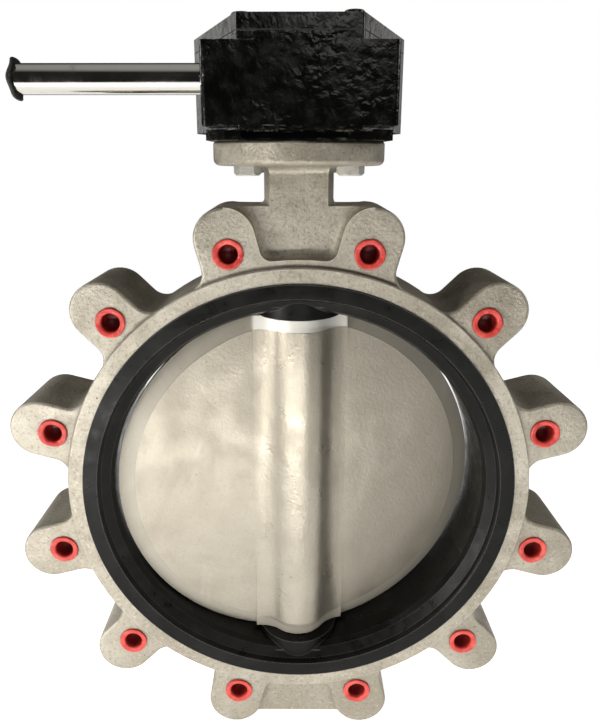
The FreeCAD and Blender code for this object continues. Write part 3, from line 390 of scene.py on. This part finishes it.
FINISHES = {
    "cast_stainless": cast_stainless(),
    "disc_stainless": disc_stainless(),
    "liner_rubber": liner_rubber(),
    "red_plastic": red_plastic(),
    "black_paint": black_paint(),
    "polished_steel": polished_steel(),
    "cap_rubber": cap_rubber(),
    "zinc_steel": plated("zinc_steel", (0.62, 0.60, 0.55), 0.32, 0.55),
    "spring_steel": plated("spring_steel", (0.30, 0.30, 0.31), 0.30),
    "ductile_iron": plated("ductile_iron", (0.17, 0.17, 0.165), 0.42, 0.9, 300.0, 0.00025),
    "bronze": plated("bronze", (0.55, 0.38, 0.16), 0.30),
    "seal_rubber": seal_rubber(),
    "indicator_plastic": indicator_plastic(),
}


def dress(piece, slot):
    """Gives the whole piece the finish of its material slot."""
    piece.data.materials.clear()
    piece.data.materials.append(FINISHES[slot])


for part in frame["record"]["subparts"]:
    dress(frame["nodes"][part["node"]], part["material_slot"])


# ---------------------------------------------------------------- pieces made in mesh code

def add_piece(name, points, faces, body, slot, nodes):
    """Adds a smooth mesh that rides on a body and takes the place of CAD nodes."""
    mesh = bpy.data.meshes.new(name)
    mesh.from_pydata(points, [], faces)
    mesh.update()
    for face in mesh.polygons:
        face.use_smooth = True
    piece = bpy.data.objects.new(name, mesh)
    bpy.context.scene.collection.objects.link(piece)
    dress(piece, slot)
    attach(piece, body)
    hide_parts(*nodes)


def ring_faces(rings, around, start=0):
    """Quads between rings of points that close on themselves."""
    faces = []
    for ring in range(rings - 1):
        for step in range(around):
            after = (step + 1) % around
            low = start + ring * around
            high = low + around
            faces.append((low + step, low + after, high + after, high + step))
    return faces


def end_cap():
    """The shaft's end cap: a thin rubber flange gone wavy round its edge, on a spigot."""
    low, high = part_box("shaft_end_cap")
    outer = (high[2] - low[2]) / 2.0
    end = low[0]
    spigot = 0.0037     # radius of the part that plugs the shaft
    # distance from the closed end, radius
    profile = [(0.0006, 0.0), (0.0006, 0.0040), (0.0009, 0.0075), (0.0008, 0.0100), (0.0003, 0.0116),
               (0.0003, 0.0126), (0.0008, 0.0131), (0.0014, 0.0132), (0.0020, 0.0130), (0.0024, 0.0122),
               (0.0027, 0.0100), (0.0027, 0.0070), (0.0027, spigot), (0.0080, spigot), (0.0158, spigot),
               (0.0166, 0.0032), (0.0166, 0.0)]
    stiff = 0.0085      # radius beyond which the flange waves
    wave_depth = 0.0013
    shrink = 0.0005
    around = 96
    points = []
    for reach, radius in profile:
        flare = max(0.0, (radius - stiff) / (outer - stiff))
        for step in range(around):
            turn = math.tau * step / around
            wave = 0.55 * math.sin(3.0 * turn + 0.7) + 0.45 * math.sin(5.0 * turn + 2.1)
            wide = radius - flare * shrink * (1.0 + math.sin(2.0 * turn + 1.2))
            along = end + reach + flare * wave_depth * (1.0 + wave)
            points.append((along, SHAFT_Y + wide * math.cos(turn), SHAFT_Z + wide * math.sin(turn)))
    add_piece("end_cap_rubber", points, ring_faces(len(profile), around), "end_cap", "cap_rubber",
              ["shaft_end_cap"])


def thread_plugs():
    """Twelve soft red plugs, each a little out of true, in the front ends of the lug holes."""
    # distance behind the lug's face, radius
    profile = [(0.0140, 0.0), (0.0140, 0.0088), (0.0112, 0.0101), (0.0002, 0.0101), (-0.0001, 0.0116),
               (-0.0012, 0.0117), (-0.0018, 0.0113), (-0.00185, 0.0104), (-0.0015, 0.0092),
               (-0.0014, 0.0082), (-0.0008, 0.0075), (0.0010, 0.0072), (0.0060, 0.0068),
               (0.0125, 0.0063), (0.0126, 0.0)]
    lip_radius = 0.0117
    lip_depth = 0.0012      # how far into the hole a plug is out of true
    shrink = 0.00045
    dent_depth = 0.00040
    around = 56
    points = []
    faces = []
    for index in range(PLUG_COUNT):
        angle = math.radians(FIRST_PLUG + 360.0 / PLUG_COUNT * index)
        middle_x = BOLT_CIRCLE * math.cos(angle)
        middle_z = BOLT_CIRCLE * math.sin(angle)
        start = len(points)
        for back, radius in profile:
            soft = max(0.0, min(1.0, (lip_depth - back) / lip_depth)) * radius / lip_radius
            for step in range(around):
                turn = math.tau * step / around
                spot = Vector((math.cos(turn) * 1.6, math.sin(turn) * 1.6, 7.3 * index))
                wave = noise.noise(spot)
                dent = noise.noise(spot * 2.3 + Vector((4.0, 1.0, 0.0)))
                wide = radius - soft * shrink * (0.5 + wave)
                deep = LUG_FACE + back + soft * dent_depth * (0.5 + dent)
                points.append((middle_x + wide * math.cos(turn), deep, middle_z + wide * math.sin(turn)))
        faces += ring_faces(len(profile), around, start)
    add_piece("thread_plugs", points, faces, "valve", "red_plastic", ["thread_protectors"])


end_cap()
thread_plugs()


# ---------------------------------------------------------------- floor, light and camera

def make_floor():
    """A round pale floor under the lowest lugs."""
    gap = 0.0004
    reach = 1.15
    around = 96
    depth = cad_box[0][2] - gap
    turns = [math.tau * step / around for step in range(around)]
    points = [(reach * math.cos(turn), reach * math.sin(turn), depth) for turn in turns]
    mesh = bpy.data.meshes.new("floor")
    mesh.from_pydata(points, [], [tuple(range(around))])
    mesh.update()
    floor = bpy.data.objects.new("floor", mesh)
    bpy.context.scene.collection.objects.link(floor)
    look = Finish("floor_paper", (0.93, 0.93, 0.92), 0.0, 0.9)
    look.set("Emission Color", WHITE)
    look.set("Emission Strength", 0.80)
    mesh.materials.append(look.material)


def make_world():
    """White to the eye; to the object, a dark room above a bright floor."""
    world = bpy.data.worlds.new("Studio")
    bpy.context.scene.world = world
    world.use_nodes = True
    tree = world.node_tree
    shown = tree.nodes["Background"]
    shown.inputs["Color"].default_value = WHITE
    lit = tree.nodes.new("ShaderNodeBackground")
    place = tree.nodes.new("ShaderNodeTexCoord")
    split = tree.nodes.new("ShaderNodeSeparateXYZ")
    ramp = tree.nodes.new("ShaderNodeValToRGB")
    half = tree.nodes.new("ShaderNodeMath")
    half.operation = "MULTIPLY_ADD"
    half.inputs[1].default_value = 0.5
    half.inputs[2].default_value = 0.5
    tree.links.new(place.outputs["Generated"], split.inputs["Vector"])
    tree.links.new(split.outputs["Z"], half.inputs[0])
    tree.links.new(half.outputs[0], ramp.inputs["Fac"])
    # 0 is straight down and 1 straight up, brightness there
    stops = [(0.00, 0.80), (0.20, 0.50), (0.30, 0.015), (0.84, 0.02), (0.94, 0.34), (1.00, 0.40)]
    while len(ramp.color_ramp.elements) < len(stops):
        ramp.color_ramp.elements.new(0.5)
    for element, (position, level) in zip(ramp.color_ramp.elements, stops):
        element.position = position
        element.color = (level, level * 0.985, level * 0.95, 1.0)
    tree.links.new(ramp.outputs["Color"], lit.inputs["Color"])
    seen = tree.nodes.new("ShaderNodeLightPath")
    mix = tree.nodes.new("ShaderNodeMixShader")
    tree.links.new(seen.outputs["Is Camera Ray"], mix.inputs["Fac"])
    tree.links.new(lit.outputs["Background"], mix.inputs[1])
    tree.links.new(shown.outputs["Background"], mix.inputs[2])
    tree.links.new(mix.outputs["Shader"], tree.nodes["World Output"].inputs["Surface"])


def soft_box(name, place, target, wide, high, power):
    """A warm white area light at place, aimed at target; power in watts."""
    data = bpy.data.lights.new(name, "AREA")
    data.shape = "RECTANGLE"
    data.size = wide
    data.size_y = high
    data.energy = power
    data.color = (1.0, 0.985, 0.95)
    lamp = bpy.data.objects.new(name, data)
    bpy.context.scene.collection.objects.link(lamp)
    lamp.location = place
    aim = Vector(target) - Vector(place)
    lamp.rotation_euler = aim.to_track_quat("-Z", "Y").to_euler()


def make_lights():
    """A low key at the left, with weaker lights at the front, sides and back."""
    soft_box("key_low_left", (-1.45, -1.05, -0.02), (0.0, 0.0, 0.0), 0.7, 0.4, 16.0)
    soft_box("low_front", (-0.12, -0.62, -0.19), (-0.05, 0.0, -0.20), 0.8, 0.08, 2.8)
    soft_box("fill_front", (0.5, -1.7, 0.9), (0.0, 0.0, 0.05), 1.2, 0.5, 2.4)
    soft_box("side_right", (1.5, -0.15, 0.9), (0.0, 0.0, 0.1), 0.9, 0.8, 7.0)
    soft_box("side_left", (-1.5, 0.1, 0.9), (0.0, 0.0, 0.2), 0.8, 0.8, 8.0)
    soft_box("back_left", (-1.55, 1.95, 0.62), (0.0, 0.0, 0.3), 0.9, 0.6, 1.2)
    soft_box("back_right", (1.55, 1.95, 0.62), (0.0, 0.0, 0.3), 0.9, 0.6, 0.8)


def make_camera():
    """Close in front of the valve and above its centre, tilted down."""
    data = bpy.data.cameras.new("Camera")
    camera = bpy.data.objects.new("Camera", data)
    bpy.context.scene.collection.objects.link(camera)
    camera.location = (-0.0034, -0.4868, 0.2632)
    camera.rotation_euler = (math.radians(75.84), 0.0, math.radians(0.18))
    data.lens = 31.02
    data.sensor_width = 36.0
    data.shift_x = 0.0106
    data.shift_y = -0.0683
    data.clip_start = 0.01
    bpy.context.scene.camera = camera


make_floor()
make_world()
make_lights()
make_camera()
bpy.context.scene.view_settings.view_transform = "Standard"
